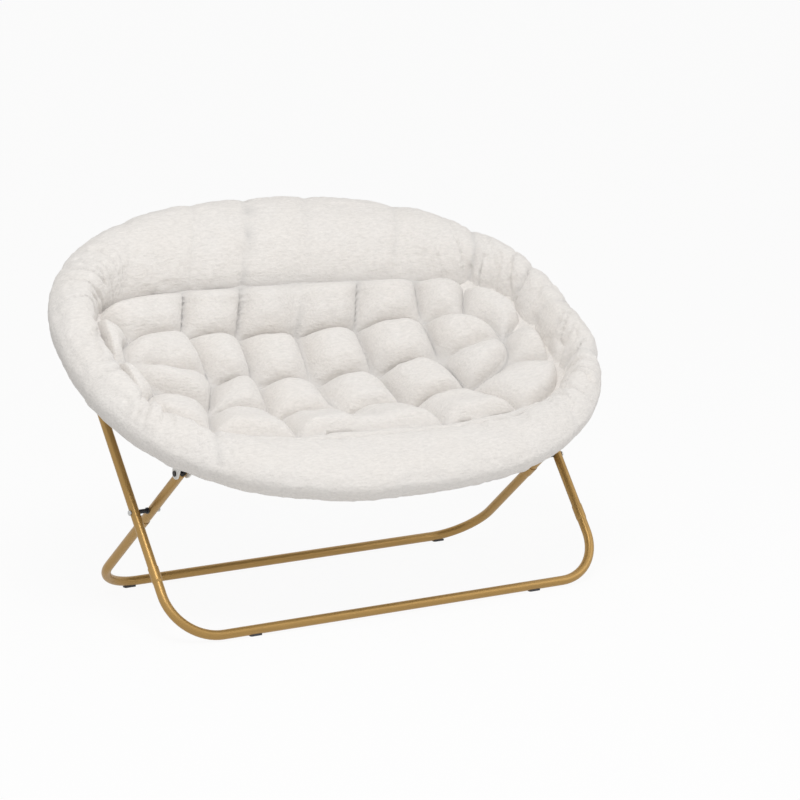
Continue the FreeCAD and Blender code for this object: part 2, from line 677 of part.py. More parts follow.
def roll(top):
    """Padded roll round a ring half: lobes between seams, cut out for tube, hinge and brackets."""
    lobes = BACK_LOBES if top else FRONT_LOBES
    total = half_length(top)
    wires = []
    sleeve = []
    band = total / (LOBE_STEPS * lobes)
    room = TUBE_R + SOFT_GAP + band ** 2 / (8 * RING_END_R)
    for k in range(-LOBE_STEPS // 2, LOBE_STEPS * lobes + LOBE_STEPS // 2 + 1):
        point, inward = oval_station(band * k, top)
        puff = abs(math.sin(math.pi * k / LOBE_STEPS))
        crown = ROLL_SEAM + (ROLL_CROWN - ROLL_SEAM) * puff
        share = abs(inward.y) ** 2
        depth = ROLL_SIDE_D + (ROLL_BACK_D - ROLL_SIDE_D) * share
        wires.append(roll_section(point, inward, crown, depth))
        sleeve.append(sleeve_section(point, inward, room))
    body = loft(wires).cut(loft(sleeve))
    reach = 2 * RING_A
    if top:
        body = body.common(box(-reach, reach, FOLD_V + FOLD_GAP / 2, reach, -reach, reach))
    else:
        body = body.common(box(-reach, reach, -reach, FOLD_V - FOLD_GAP / 2, -reach, reach))
    sign = 1 if top else -1
    leg_x = FRONT_LEG_X if top else REAR_LEG_X
    pin = BACK_PIN_VW if top else FRONT_PIN_VW
    left, right = ear_span(leg_x)
    pocket = slot_box(leg_x, sign, SOFT_GAP - TUBE_R / 2, EAR_T + POCKET_MARGIN)
    outside = EAR_T + SOFT_GAP
    phi_in = sign * math.degrees(math.acos((left - outside - END_X) / RING_END_R))
    phi_out = sign * math.degrees(math.acos((right + outside - END_X) / RING_END_R))
    collar = ring_arc(min(phi_in, phi_out), max(phi_in, phi_out), BRACKET_R + SOFT_GAP)
    side = ARM_T + KNUCKLE_SIDE
    hinge = box(HINGE_X - side, HINGE_X + side, FOLD_V - KNUCKLE_REACH, FOLD_V + KNUCKLE_REACH,
                -HINGE_DROP - EYE_R - SOFT_GAP, TUBE_R)
    spread = KNUCKLE_ROOM * ARM_TURN
    knuckles = ring_arc(HINGE_PHI - spread, HINGE_PHI + spread, EYE_R + ARM_T / 2)
    cutters = [pocket, collar, hinge, knuckles, bracket(leg_x, pin, sign)]
    for x0 in (left - EAR_T, right):
        tube_v = sign * math.sqrt(RING_END_R ** 2 - (x0 + EAR_T / 2 - END_X) ** 2)
        cutters.append(x_rod(EAR_TOP_R + SOFT_GAP, x0 - SOFT_GAP, x0 + EAR_T + SOFT_GAP, (tube_v, 0)))
    for cutter in cutters:
        body = body.cut(cutter).cut(mirrored(cutter))
    return body


def seat_pad():
    """Quilted seat inside the rolls: pillows in rings between sewn channels."""
    edge_r = PAD_ROUND * PAD_B
    rings = [oval_wire(PAD_A, PAD_B, edge_r, PAD_EDGE_W - SLING_DEPTH),
             oval_wire(PAD_A, PAD_B, edge_r, PAD_EDGE_W)]
    for a, b, w in PAD_RINGS:
        rings.append(oval_wire(a, b, PAD_ROUND * b, w))
    return loft(rings).common(bowl(SLING_T + SOFT_GAP))


def export(name, shape):
    shape.exportStep(os.path.join("parts", name + ".step"))


def main():
    os.makedirs("parts", exist_ok=True)
    front = (FRONT_BAR_Y, FRONT_LEAN, 1, FRONT_JOINT)
    rear = (REAR_BAR_Y, REAR_LEAN, -1, REAR_JOINT)
    export("front_floor_bar", floor_frame(FRONT_LEG_X, *front))
    export("rear_floor_bar", floor_frame(REAR_LEG_X, *rear))
    for side, sign in (("left", -1), ("right", 1)):
        export("front_leg_" + side, leg(sign * FRONT_LEG_X, *front, BACK_PIN, FRONT_TIP))
        export("rear_leg_" + side, leg(sign * REAR_LEG_X, *rear, FRONT_PIN, REAR_TIP))
    front_plug = leg_plug(FRONT_LEG_X, FRONT_LEAN, 1, BACK_PIN, FRONT_TIP)
    rear_plug = leg_plug(REAR_LEG_X, REAR_LEAN, -1, FRONT_PIN, REAR_TIP)
    export("front_leg_plugs", pair(front_plug))
    export("rear_leg_plugs", pair(rear_plug))
    export("crossing_bolts", pair(pivot_bolt()))
    export("crossing_spacers", pair(pivot_spacer()))
    nut_x = REAR_LEG_X - TUBE_R - SIDE_GAP
    export("crossing_nuts", pair(hex_nut(nut_x - NUT_T, nut_x, PIVOT, BOLT_R)))
    export("front_glides", pair(glide(FRONT_GLIDE_X, FRONT_BAR_Y)))
    export("rear_glides", pair(glide(REAR_GLIDE_X, REAR_BAR_Y)))

    export("ring_back_tube", placed(ring_tube(True)))
    export("ring_front_tube", placed(ring_tube(False)))
    outer_arm = knuckle(True)
    inner_arm = knuckle(False)
    back_bracket = bracket(FRONT_LEG_X, BACK_PIN_VW, 1)
    front_bracket = bracket(REAR_LEG_X, FRONT_PIN_VW, -1)
    for side, turn in (("left", mirrored), ("right", lambda shape: shape)):
        export("hinge_arm_outer_" + side, placed(turn(outer_arm)))
        export("hinge_arm_inner_" + side, placed(turn(inner_arm)))
        export("back_bracket_" + side, placed(turn(back_bracket)))
        export("front_bracket_" + side, placed(turn(front_bracket)))
    export("hinge_pins", placed(pair(hinge_pin())))
    export("back_bracket_bolts", placed(pair(back_bolt())))
    export("back_bracket_nuts", placed(pair(back_nut())))
    export("front_bracket_rivets", placed(pair(front_rivet())))
    export("front_bracket_barrels", placed(pair(front_barrel())))

    export("sling_back", placed(sling_back()))
    export("sling_front", placed(sling_front()))
    export("rim_roll_back", placed(roll(True)))
    export("rim_roll_front", placed(roll(False)))
    export("seat_pad", placed(seat_pad()))

    hinge = PLACE.multVec(Vector(HINGE_X, FOLD_V, -HINGE_DROP))
    print("crossing pivot", [round(value, 3) for value in PIVOT])
    print("back pin", [round(value, 3) for value in BACK_PIN])
    print("front pin", [round(value, 3) for value in FRONT_PIN])
    print("ring hinge", round(hinge.x, 3), round(hinge.y, 3), round(hinge.z, 3))


main()
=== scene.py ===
import math
import bmesh
import bpy
import numpy as np
from bpy.props import FloatProperty, FloatVectorProperty, IntProperty, PointerProperty
from mathutils import Matrix, Vector


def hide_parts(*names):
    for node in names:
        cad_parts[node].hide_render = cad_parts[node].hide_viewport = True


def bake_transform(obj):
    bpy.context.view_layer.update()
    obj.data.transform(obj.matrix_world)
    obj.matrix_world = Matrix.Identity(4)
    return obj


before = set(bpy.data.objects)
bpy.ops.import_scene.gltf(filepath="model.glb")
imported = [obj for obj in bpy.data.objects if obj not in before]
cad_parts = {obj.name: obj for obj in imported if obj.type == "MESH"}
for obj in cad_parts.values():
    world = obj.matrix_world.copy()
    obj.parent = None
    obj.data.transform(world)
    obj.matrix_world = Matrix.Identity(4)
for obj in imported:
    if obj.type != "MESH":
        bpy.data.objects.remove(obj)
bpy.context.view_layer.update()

bl_info = {
    "name": "Folding Saucer Chair",
    "version": (1, 0, 0),
    "blender": (4, 5, 0),
    "location": "3D View > Sidebar > Saucer",
    "description": "Quilted plush saucer seat on a folding frame of gold tube",
    "category": "Add Mesh",
}

# The saucer's own axes: x along the seat, v up the ring's slope, w square to the ring, in mm.
RING_HEIGHT = 588.0
RING_TILT = math.radians(30.5)
SLING_HALF = (640.0, 483.0)
SLING_POWER = 2.3
SLING_EDGE = -11.3
SLING_DEPTH = 174.0
SLING_THICK = 2.6
SLING_TRIM = 0.985       # cloth stops this short of the oval, inside the ring's sleeve
SLING_BACK_HALF = 546.0  # half width behind the legs
SLING_FRONT_HALF = 482.0  # half width beside the legs, in front
SLING_GAP = 4.0          # underside of the cushion over the sling's lower face
PILLOW_LIFT = 15.0       # stitched seams of the seat over the sling
PILLOW_V = 20.0          # middle row of tufts up the slope from the saucer's middle
UNDER_REACH = 56.0       # rounding under the roll, inward of the outline
WALL_REACH = 62.0        # distance from a seam to a pillow's full height, outer ring
SEAT_REACH = 66.0        # the same in the inner ring
SKEW = 0.055             # lean of the inner rings per mm along x
FLOOR_Z = -0.0006        # floor a hair under the glides, in metres
BAND_AT = 0.585          # stitched band along the front roll, as a share of the roll's rows


def srgb(code):
    """Hex colour to linear red, green and blue."""
    parts = [int(code[k:k + 2], 16) / 255 for k in (1, 3, 5)]
    return tuple(c / 12.92 if c <= 0.04045 else ((c + 0.055) / 1.055) ** 2.4 for c in parts)


# ---------------------------------------------------------------- settings
def colour(name, text, code):
    return FloatVectorProperty(name=name, description=text, subtype="COLOR", size=3,
                               min=0, max=1, default=srgb(code))


def length(name, text, mm):
    return FloatProperty(name=name, description=text, default=mm / 1000, unit="LENGTH",
                         subtype="DISTANCE")


class CushionSizes(bpy.types.PropertyGroup):
    half_length: length("Half length", "Middle of the saucer to its side outline", 667)
    half_width: length("Half width", "Middle of the saucer to its back outline", 511)
    squareness: FloatProperty(name="Squareness", description="Power of the outline's oval",
                              default=2.3, min=2, max=4)
    crown: length("Crown", "Height of the rim roll over the ring", 33)
    crown_inset: length("Crown inset", "Highest line of the roll inward of the outline", 76)
    crease_length: length("Crease half length", "Middle to the crease inside the roll", 566)
    crease_width: length("Crease half width", "The same up the slope", 274)
    crease_depth: length("Crease depth", "Crease under the ring's plane", 66)
    channel_length: length("Channel half length", "Middle to the stitched channel", 490)
    channel_width: length("Channel half width", "The same up the slope", 150)
    spine: length("Spine half length", "Half of the middle row of tufts", 318)
    roll_puff: length("Roll puff", "Depth of the grooves across the roll", 11)
    wall_puff: length("Wall puff", "Height of the outer ring of pillows", 55)
    seat_puff: length("Seat puff", "Height of the inner ring of pillows", 64)
    columns: IntProperty(name="Columns", description="Mesh columns round the saucer",
                         default=560, min=64)


class Finishes(bpy.types.PropertyGroup):
    plush: colour("Plush", "Short pile of the cushion", "#F4F1EE")
    gold: colour("Gold", "Lacquered steel tube", "#AF8B50")
    white_nylon: colour("White nylon", "Leg brackets", "#ECEBE7")
    black_nylon: colour("Black nylon", "Spacers and leg plugs", "#17171A")
    glide_grey: colour("Glide grey", "Feet under the floor bars", "#3E3E42")
    zinc: colour("Zinc", "Bolts and nuts", "#C4C4C2")
    dark_steel: colour("Dark steel", "Hinge arms and rivets", "#2C2A29")
    cloth: colour("Cloth", "Sling under the cushion", "#DDD8D0")


class StageSettings(bpy.types.PropertyGroup):
    azimuth: FloatProperty(name="Azimuth", description="Camera's turn round the chair in degrees",
                           default=-31.017)
    elevation: FloatProperty(name="Elevation", description="Camera's height in degrees",
                             default=12.381)
    distance: length("Distance", "Camera to its aim", 8149.1)
    aim: FloatVectorProperty(name="Aim", description="Point that the camera looks at",
                             subtype="XYZ", unit="LENGTH", size=3,
                             default=(0.304254, 0.193715, 0.302))
    lens: FloatProperty(name="Lens", description="Focal length in mm on a 36 mm sensor",
                        default=150.784)
    shift_up: FloatProperty(name="Shift", default=0.03518,
                            description="Frame's shift upward as a share of its width")
    key: FloatProperty(name="Key lamp", description="Strength in watts", default=70.0)
    fill: FloatProperty(name="Fill lamp", description="Strength in watts", default=20.0)
    sky: FloatProperty(name="Sky", description="Strength of the room's light", default=0.52)


# ---------------------------------------------------------------- materials
def add(tree, kind, inputs=None, **settings):
    """Adds one node with its settings; an input is a value or another node's socket."""
    made = tree.nodes.new(kind)
    for key, value in settings.items():
        setattr(made, key, value)
    for key, value in (inputs or {}).items():
        if isinstance(value, bpy.types.NodeSocket):
            tree.links.new(value, made.inputs[key])
        else:
            made.inputs[key].default_value = value
    return made


def blank(name):
    material = bpy.data.materials.new(name)
    material.use_nodes = True
    material.node_tree.nodes.clear()
    return material, material.node_tree


def close(material, shader):
    output = add(material.node_tree, "ShaderNodeOutputMaterial")
    material.node_tree.links.new(shader.outputs[0], output.inputs["Surface"])
    return material


def rgba(rgb, share=1.0):
    return (rgb[0] * share, rgb[1] * share, rgb[2] * share, 1.0)


def per_mm(size):
    """Texture scale for noise of this size in mm; a wave's bands come 0.31 times as far apart."""
    return 1000.0 / size


def noise(tree, where, size, detail=2.0, rough=0.5):
    return add(tree, "ShaderNodeTexNoise",
               {"Vector": where, "Scale": per_mm(size), "Detail": detail, "Roughness": rough})


def plush_pile(rgb):
    """Faux rabbit plush, a sheared polyester pile: soft edge light from the fibre tips.

    Real tufts are 1 to 2 mm; they are drawn at 5 mm, and 12 mm along x, so that they show."""
    material, tree = blank("faux_rabbit_plush")
    place = add(tree, "ShaderNodeTexCoord").outputs["Object"]
    combed = add(tree, "ShaderNodeMapping", {"Vector": place, "Scale": (0.42, 1.0, 1.0)})
    tufts = noise(tree, combed.outputs[0], 5.0, 3.0, 0.6)
    locks = noise(tree, combed.outputs[0], 22.0, 3.0, 0.55)
    brushed = noise(tree, place, 110.0, 2.0, 0.5)
    hollow_and_painted_shade = add(tree, "ShaderNodeAttribute", attribute_name="hollow_and_painted_shade")
    tips = add(tree, "ShaderNodeMapRange", {"Value": tufts.outputs["Fac"], "From Min": 0.3,
                                            "From Max": 0.7})
    shade = add(tree, "ShaderNodeMix", {"Factor": tips.outputs["Result"], "A": rgba(rgb, 0.885),
                                        "B": rgba(rgb, 1.0)}, data_type="RGBA")
    warm = add(tree, "ShaderNodeMix", {"Factor": brushed.outputs["Fac"],
                                       "A": (1.0, 1.0, 1.0, 1.0), "B": (1.0, 0.985, 0.965, 1.0)},
               data_type="RGBA")
    tone = add(tree, "ShaderNodeMix", {"Factor": 1.0, "A": shade.outputs["Result"],
                                       "B": warm.outputs["Result"]},
               data_type="RGBA", blend_type="MULTIPLY")
    # Painted shade: the plush's colour drops to 0.8 where the cushion's mask marks seams, the
    # crease under the back roll and the front band.
    painted_shade_mix = add(tree, "ShaderNodeMix", {"Factor": hollow_and_painted_shade.outputs["Fac"],
                                       "A": tone.outputs["Result"], "B": rgba(rgb, 0.80)},
               data_type="RGBA")
    soft = add(tree, "ShaderNodeBump", {"Height": locks.outputs["Fac"], "Strength": 0.6,
                                        "Distance": 0.006})
    fine = add(tree, "ShaderNodeBump", {"Height": tufts.outputs["Fac"], "Strength": 0.7,
                                        "Distance": 0.003, "Normal": soft.outputs[0]})
    shader = add(tree, "ShaderNodeBsdfPrincipled",
                 {"Base Color": painted_shade_mix.outputs["Result"], "Roughness": 0.95, "IOR": 1.45,
                  "Specular IOR Level": 0.15, "Sheen Weight": 0.35, "Sheen Roughness": 0.55,
                  "Normal": fine.outputs[0]})
    return close(material, shader)


def woven_cloth(rgb):
    """Plain-woven polyester, matt: threads of 0.5 mm, drawn 6 mm apart so that they show."""
    material, tree = blank("woven_polyester")
    place = add(tree, "ShaderNodeTexCoord").outputs["Object"]
    warp = add(tree, "ShaderNodeTexWave", {"Vector": place, "Scale": per_mm(20.0)},
               bands_direction="X")
    weft = add(tree, "ShaderNodeTexWave", {"Vector": place, "Scale": per_mm(20.0)},
               bands_direction="Y")
    weave = add(tree, "ShaderNodeMath", {0: warp.outputs["Fac"], 1: weft.outputs["Fac"]},
                operation="MULTIPLY")
    slub = noise(tree, place, 30.0, 3.0)
    tone = add(tree, "ShaderNodeMix", {"Factor": slub.outputs["Fac"], "A": rgba(rgb, 0.9),
                                       "B": rgba(rgb, 1.0)}, data_type="RGBA")
    bump = add(tree, "ShaderNodeBump", {"Height": weave.outputs[0], "Strength": 0.3,
                                        "Distance": 0.0008})
    shader = add(tree, "ShaderNodeBsdfPrincipled",
                 {"Base Color": tone.outputs["Result"], "Roughness": 0.9,
                  "Specular IOR Level": 0.2, "Sheen Weight": 0.15, "Normal": bump.outputs[0]})
    return close(material, shader)


def satin_gold(rgb):
    """Steel tube in satin gold lacquer: soft long highlights, faint cloudiness and orange peel."""
    material, tree = blank("satin_gold_lacquer")
    place = add(tree, "ShaderNodeTexCoord").outputs["Object"]
    cloud = noise(tree, place, 60.0, 3.0)
    peel = noise(tree, place, 4.0, 2.0)
    tone = add(tree, "ShaderNodeMix", {"Factor": cloud.outputs["Fac"], "A": rgba(rgb, 0.9),
                                       "B": rgba(rgb, 1.06)}, data_type="RGBA")
    gloss = add(tree, "ShaderNodeMapRange", {"Value": cloud.outputs["Fac"], "To Min": 0.30,
                                             "To Max": 0.42})
    bump = add(tree, "ShaderNodeBump", {"Height": peel.outputs["Fac"], "Strength": 0.06,
                                        "Distance": 0.0004})
    shader = add(tree, "ShaderNodeBsdfPrincipled",
                 {"Base Color": tone.outputs["Result"], "Metallic": 0.55,
                  "Roughness": gloss.outputs["Result"], "Normal": bump.outputs[0]})
    return close(material, shader)


def moulded_nylon(name, rgb, rough):
    """Injection-moulded nylon: a fine spark-eroded grain, drawn at 1.5 mm."""
    material, tree = blank(name)
    place = add(tree, "ShaderNodeTexCoord").outputs["Object"]
    grain = noise(tree, place, 1.5, 2.0)
    stain = noise(tree, place, 18.0, 2.0)
    tone = add(tree, "ShaderNodeMix", {"Factor": stain.outputs["Fac"], "A": rgba(rgb, 0.92),
                                       "B": rgba(rgb, 1.0)}, data_type="RGBA")
    bump = add(tree, "ShaderNodeBump", {"Height": grain.outputs["Fac"], "Strength": 0.15,
                                        "Distance": 0.0003})
    shader = add(tree, "ShaderNodeBsdfPrincipled",
                 {"Base Color": tone.outputs["Result"], "Roughness": rough, "IOR": 1.53,
                  "Normal": bump.outputs[0]})
    return close(material, shader)


def plated_steel(name, rgb, metal, low, high):
    """Turned steel, zinc plated or blackened: tool marks, drawn 2 mm apart, and uneven gloss."""
    material, tree = blank(name)
    place = add(tree, "ShaderNodeTexCoord").outputs["Object"]
    marks = add(tree, "ShaderNodeTexWave", {"Vector": place, "Scale": per_mm(6.0),
                                            "Distortion": 1.5}, bands_direction="X")
    haze = noise(tree, place, 5.0, 3.0)
    gloss = add(tree, "ShaderNodeMapRange", {"Value": haze.outputs["Fac"], "To Min": low,
                                             "To Max": high})
    tone = add(tree, "ShaderNodeMix", {"Factor": haze.outputs["Fac"], "A": rgba(rgb, 0.85),
                                       "B": rgba(rgb, 1.0)}, data_type="RGBA")
    bump = add(tree, "ShaderNodeBump", {"Height": marks.outputs["Fac"], "Strength": 0.05,
                                        "Distance": 0.0002})
    shader = add(tree, "ShaderNodeBsdfPrincipled",
                 {"Base Color": tone.outputs["Result"], "Metallic": metal,
                  "Roughness": gloss.outputs["Result"], "Normal": bump.outputs[0]})
    return close(material, shader)


def paint(material, *names):
    """Gives CAD nodes their material."""
    for name in names:
        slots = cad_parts[name].data.materials
        slots.clear()
        slots.append(material)


# ---------------------------------------------------------------- shapes
def to_world(x, v, w):
    """Saucer axes in mm to the chair's axes in metres: y = v cos - w sin, z = v sin + w cos."""
    c, s = math.cos(RING_TILT), math.sin(RING_TILT)
    return np.stack([x, v * c - w * s, RING_HEIGHT + v * s + w * c], axis=-1) / 1000


def oval(turn, a, b, power):
    """x = a cos^(2/p), v = b sin^(2/p), signs kept: |x/a|^p + |v/b|^p = 1."""
    c, s = np.cos(turn), np.sin(turn)
    return (a * np.sign(c) * np.abs(c) ** (2 / power), b * np.sign(s) * np.abs(s) ** (2 / power))


def sling_height(x, v):
    """w = edge - depth (1 - r^2), r the size of the oval through (x, v) as a share of the edge."""
    share = ((np.abs(x) / SLING_HALF[0]) ** SLING_POWER
             + (np.abs(v) / SLING_HALF[1]) ** SLING_POWER) ** (1 / SLING_POWER)
    return SLING_EDGE - SLING_DEPTH * (1 - share ** 2)


def wander(points, size, seed):
    """Smooth noise from -1 to 1: random values on a grid of this size in mm, eased between."""
    table = np.random.RandomState(seed).uniform(-1, 1, 4096)
    cell = np.floor(points / size).astype(int)
    part = points / size - cell
    ease = part * part * (3 - 2 * part)
    total = np.zeros(points.shape[:-1])
    for corner in range(8):
        step = np.array([(corner >> k) & 1 for k in range(3)])
        place = cell + step
        key = (place[..., 0] * 73856093 ^ place[..., 1] * 19349663 ^ place[..., 2] * 83492791)
        weight = np.prod(np.where(step, ease, 1 - ease), axis=-1)
        total += weight * table[key % 4096]
    return total


def to_segment(x, v, ax, av, bx, bv):
    """Distance in the ring's plane from each point to a straight seam."""
    dx, dv = bx - ax, bv - av
    part = np.clip(((x - ax) * dx + (v - av) * dv) / (dx * dx + dv * dv), 0, 1)
    return np.hypot(x - ax - part * dx, v - av - part * dv)


def build(name, points, faces, smooth=True):
    """A mesh object from arrays, with doubles merged and faces turned outward."""
    mesh = bpy.data.meshes.new(name)
    mesh.from_pydata(points, [], faces)
    made = bpy.data.objects.new(name, mesh)
    bpy.context.scene.collection.objects.link(made)
    shape = bmesh.new()
    shape.from_mesh(mesh)
    bmesh.ops.remove_doubles(shape, verts=shape.verts, dist=0.00002)
    bmesh.ops.dissolve_degenerate(shape, edges=shape.edges, dist=0.00001)
    bmesh.ops.recalc_face_normals(shape, faces=shape.faces)
    shape.to_mesh(mesh)
    shape.free()
    if smooth:
        mesh.shade_smooth()
    return made


def grid_faces(rows, columns):
    """Quads of a grid that closes round its columns."""
    r, c = np.meshgrid(np.arange(rows - 1), np.arange(columns), indexing="ij")
    a = r * columns + c
    b = r * columns + (c + 1) % columns
    return np.stack([a, b, b + columns, a + columns], axis=-1).reshape(-1, 4)


# Seams in the saucer's plane, in mm: across the roll (outline to crease), across the outer
# ring of pillows (crease to channel) and across the inner ring (channel to spine).
ROLL_SEAMS = (
    ((-141, 505), (-224, 272), 0.55), ((7, 505), (-82, 272), 1.0), ((171, 500), (75, 268), 0.6),
    ((389, 440), (313, 262), 0.7), ((566, 340), (497, 215), 1.0), ((655, 150), (556, 120), 0.8),
    ((690, -6), (568, 30), 0.8), ((645, -196), (540, -130), 0.8), ((-330, 480), (-400, 255), 0.3),
    ((-560, 330), (-510, 210), 0.35), ((-690, 60), (-566, 40), 0.4),
    ((-640, -210), (-530, -140), 0.5), ((-492, -420), (-425, -262), 0.9),
    ((-160, -540), (-150, -270), 0.3),
    ((160, -540), (150, -270), 0.3), ((470, -440), (420, -250), 0.6),
)
WALL_SEAMS = (
    ((-240, 272), (-283, 160), 1.0), ((-92, 274), (-132, 168), 1.0), ((49, 274), (26, 170), 1.0),
    ((219, 270), (184, 170), 1.0), ((369, 262), (350, 158), 1.0), ((490, 222), (440, 118), 1.0),
    ((566, 60), (490, 20), 1.0), ((550, -90), (470, -60), 0.8), ((-510, 190), (-440, 118), 1.0),
    ((-566, 20), (-490, 15), 0.8), ((-530, -140), (-455, -65), 0.8),
    ((-400, -250), (-340, -120), 1.0),
    ((-190, -274), (-180, -130), 1.0), ((0, -274), (0, -130), 1.0), ((190, -274), (180, -130), 1.0),
    ((400, -250), (345, -120), 1.0),
)
SEAT_SEAMS = (
    ((-283, 160), (-262, 20), 1.0), ((-132, 168), (-146, 20), 1.0), ((26, 170), (8, 20), 1.0),
    ((184, 170), (168, 20), 1.0), ((350, 158), (335, 20), 1.0), ((490, 20), (335, 20), 0.8),
    ((-490, 15), (-300, 20), 0.8), ((-340, -120), (-262, 20), 1.0), ((-180, -130), (-146, 20), 1.0),
    ((0, -130), (8, 20), 1.0), ((180, -130), (168, 20), 1.0), ((345, -120), (335, 20), 1.0),
)


def seam_cut(x, v, seams, width, power=1.0):
    """Product of 1 - depth exp(-(d / width)^power) over the seams: 1 away from them."""
    result = np.ones_like(x)
    for start, end, depth in seams:
        d = to_segment(x, v, *start, *end)
        result *= 1 - depth * np.exp(-(d / width) ** power)
    return result


def dome(gap, reach):
    """Round of a filled pillow by its distance from a seam: (1 - (1 - d / reach)^2)^0.62.

    The distance is eased near the seam, where the pile fills the valley."""
    near = np.clip((np.sqrt(gap ** 2 + 9.0) - 3.0) / reach, 0, 1)
    return (1 - (1 - near) ** 2) ** 0.62


def pillow_field(x, v, seams, reach):
    """Round of the pillows by the distance to the nearest seam, blurred where seams are weak."""
    result = np.ones_like(x)
    for start, end, depth in seams:
        result *= 1 - depth * (1 - dome(to_segment(x, v, *start, *end), reach))
    return result


def cushion_surface(sizes):
    """Closed skin of the cushion in saucer axes, each point's depth in a seam (also the mask for
    painted shade), and its row.

    Rows s: -2 to -1 under the dish, to 0 round the roll's underside, to 1 over the roll, to 2
    across the outer ring of pillows and to 3 at the spine.

    Plan: straight from the outline oval to the crease oval, the channel oval and the spine.
    Height: a quarter oval up to the roll's crown, (1 - h^2.2)^0.7 down to the crease, straight
    falls to the channel and the spine, and the sling's dish underneath. Pillows are raised
    along the surface's normal by the dome of their distance to the seams."""
    mm = {key: getattr(sizes, key) * 1000 for key in (
        "half_length", "half_width", "crown", "crown_inset", "crease_length", "crease_width",
        "crease_depth", "channel_length", "channel_width", "spine", "roll_puff", "wall_puff",
        "seat_puff")}
    turn = np.linspace(0, 2 * np.pi, sizes.columns, endpoint=False) + np.pi / sizes.columns
    outline = np.stack(oval(turn, mm["half_length"], mm["half_width"], sizes.squareness))
    outline[1] *= np.where(np.sin(turn) < 0, 1.01, 1.0)
    crease = np.stack(oval(turn, mm["crease_length"], mm["crease_width"], 3.8))
    crease[0] *= np.where(np.cos(turn) < 0, 0.94, 1.0)
    channel = np.stack(oval(turn, mm["channel_length"], mm["channel_width"], 2.8))
    channel[1] += PILLOW_V
    spine = np.stack([mm["spine"] * np.cos(turn), np.full_like(turn, PILLOW_V)])
    back = np.clip(np.sin(turn), 0, 1)

    span = np.hypot(*(crease - outline))
    top = np.minimum(mm["crown_inset"], 0.5 * span) / span
    arms = np.clip((np.abs(np.cos(turn)) - 0.5) / 0.5, 0, 1)
    back_right = back * np.clip(np.cos(turn) * 2 + 0.5, 0, 1)
    crown = mm["crown"] + 2 * back + 8 * arms - 9 * back_right
    rows_x, rows_v, rows_w, rows_s = [], [], [], []

    def row(x, v, w, s):
        rows_x.append(x)
        rows_v.append(v)
        rows_w.append(w)
        rows_s.append(np.full_like(x, s))

    # underside, from the middle out to the roll
    size = np.hypot(*outline)
    for share in np.linspace(0, 1, 34):
        scale = share * (1 - UNDER_REACH / size)
        x, v = outline * scale
        row(x, v, np.maximum(sling_height(x, v) + SLING_GAP, -200), -2 + share)
    for inset, w in ((50, -19.5), (42, -21), (34, -21.8), (26, -21.8), (18, -20), (11, -16.5),
                     (5, -11.5), (1.5, -6)):
        x, v = outline * (1 - inset / size)
        row(x, v, np.full_like(x, float(w)), -inset / UNDER_REACH)
    # roll, outline to crease
    outer = 20
    for k in range(outer):
        rise = (k / outer) ** 1.4
        share = top * rise
        x, v = outline + (crease - outline) * share
        row(x, v, crown * (1 - (1 - rise) ** 2.3) ** 0.5 + 2, 0.3 * k / outer)
    inner = 46
    for k in range(inner):
        h = math.sin(math.pi / 2 * k / inner)
        share = top + (1 - top) * h
        x, v = outline + (crease - outline) * share
        w = -mm["crease_depth"] + (crown + 2 + mm["crease_depth"]) * (1 - h ** 2.2) ** 0.7
        row(x, v, w, 0.3 + 0.7 * k / inner)
    # pillows, crease to channel to spine
    channel_w = sling_height(channel[0], channel[1]) + PILLOW_LIFT
    spine_w = sling_height(spine[0], spine[1]) + PILLOW_LIFT
    crease_w = np.full_like(turn, -mm["crease_depth"])
    for start, end, w0, w1, first, count in (
            (crease, channel, crease_w, channel_w, 1, 30),
            (channel, spine, channel_w, spine_w, 2, 36)):
        for k in range(count):
            part = k / count
            x, v = start + (end - start) * part
            row(x, v, w0 + (w1 - w0) * part, first + part)
    row(spine[0], spine[1], spine_w, 3.0)

    x, v, w, s = (np.array(rows) for rows in (rows_x, rows_v, rows_w, rows_s))
    place = np.stack([x, v, w], axis=-1)
    along = np.roll(place, -1, axis=1) - np.roll(place, 1, axis=1)
    across = np.gradient(place, axis=0)
    normal = np.cross(along, across)
    normal /= np.maximum(np.linalg.norm(normal, axis=-1, keepdims=True), 1e-6)
    if np.mean(normal[..., 2][s > 0.4] < 0) > 0.5:
        normal = -normal

    # rim roll: grooves at its seams
    roll_seam = seam_cut(x, v, ROLL_SEAMS, 15.0, 1.15)
    on_roll = np.clip(np.minimum(1.0, (s + 1.0) / 0.5), 0, 1) * (s < 1)
    below = np.clip((0.06 - s) / 0.3, 0, 1)
    puff = mm["roll_puff"] * ((roll_seam - 1) * (1 - 0.7 * below) + 1.5 * below) * on_roll
    # outer and inner ring of pillows
    wall = (s >= 1) & (s < 2)
    ring_gap = np.hypot(*(crease - channel))[None, :] * np.minimum(2.2 * (s - 1), 2 - s)
    wall_shape = pillow_field(x, v, WALL_SEAMS, WALL_REACH) * dome(ring_gap, np.minimum(
        WALL_REACH, 0.5 * np.hypot(*(crease - channel)))[None, :])
    seat = s >= 2
    seat_gap = np.hypot(*(channel - spine))[None, :] * np.minimum(1.5 * (s - 2), 3 - s)
    seat_shape = pillow_field(x, v, SEAT_SEAMS, SEAT_REACH) * dome(seat_gap, np.minimum(
        SEAT_REACH, 0.5 * np.hypot(*(channel - spine)))[None, :])
    puff = np.where(wall, mm["wall_puff"] * wall_shape, puff)
    puff = np.where(seat, mm["seat_puff"] * seat_shape, puff)
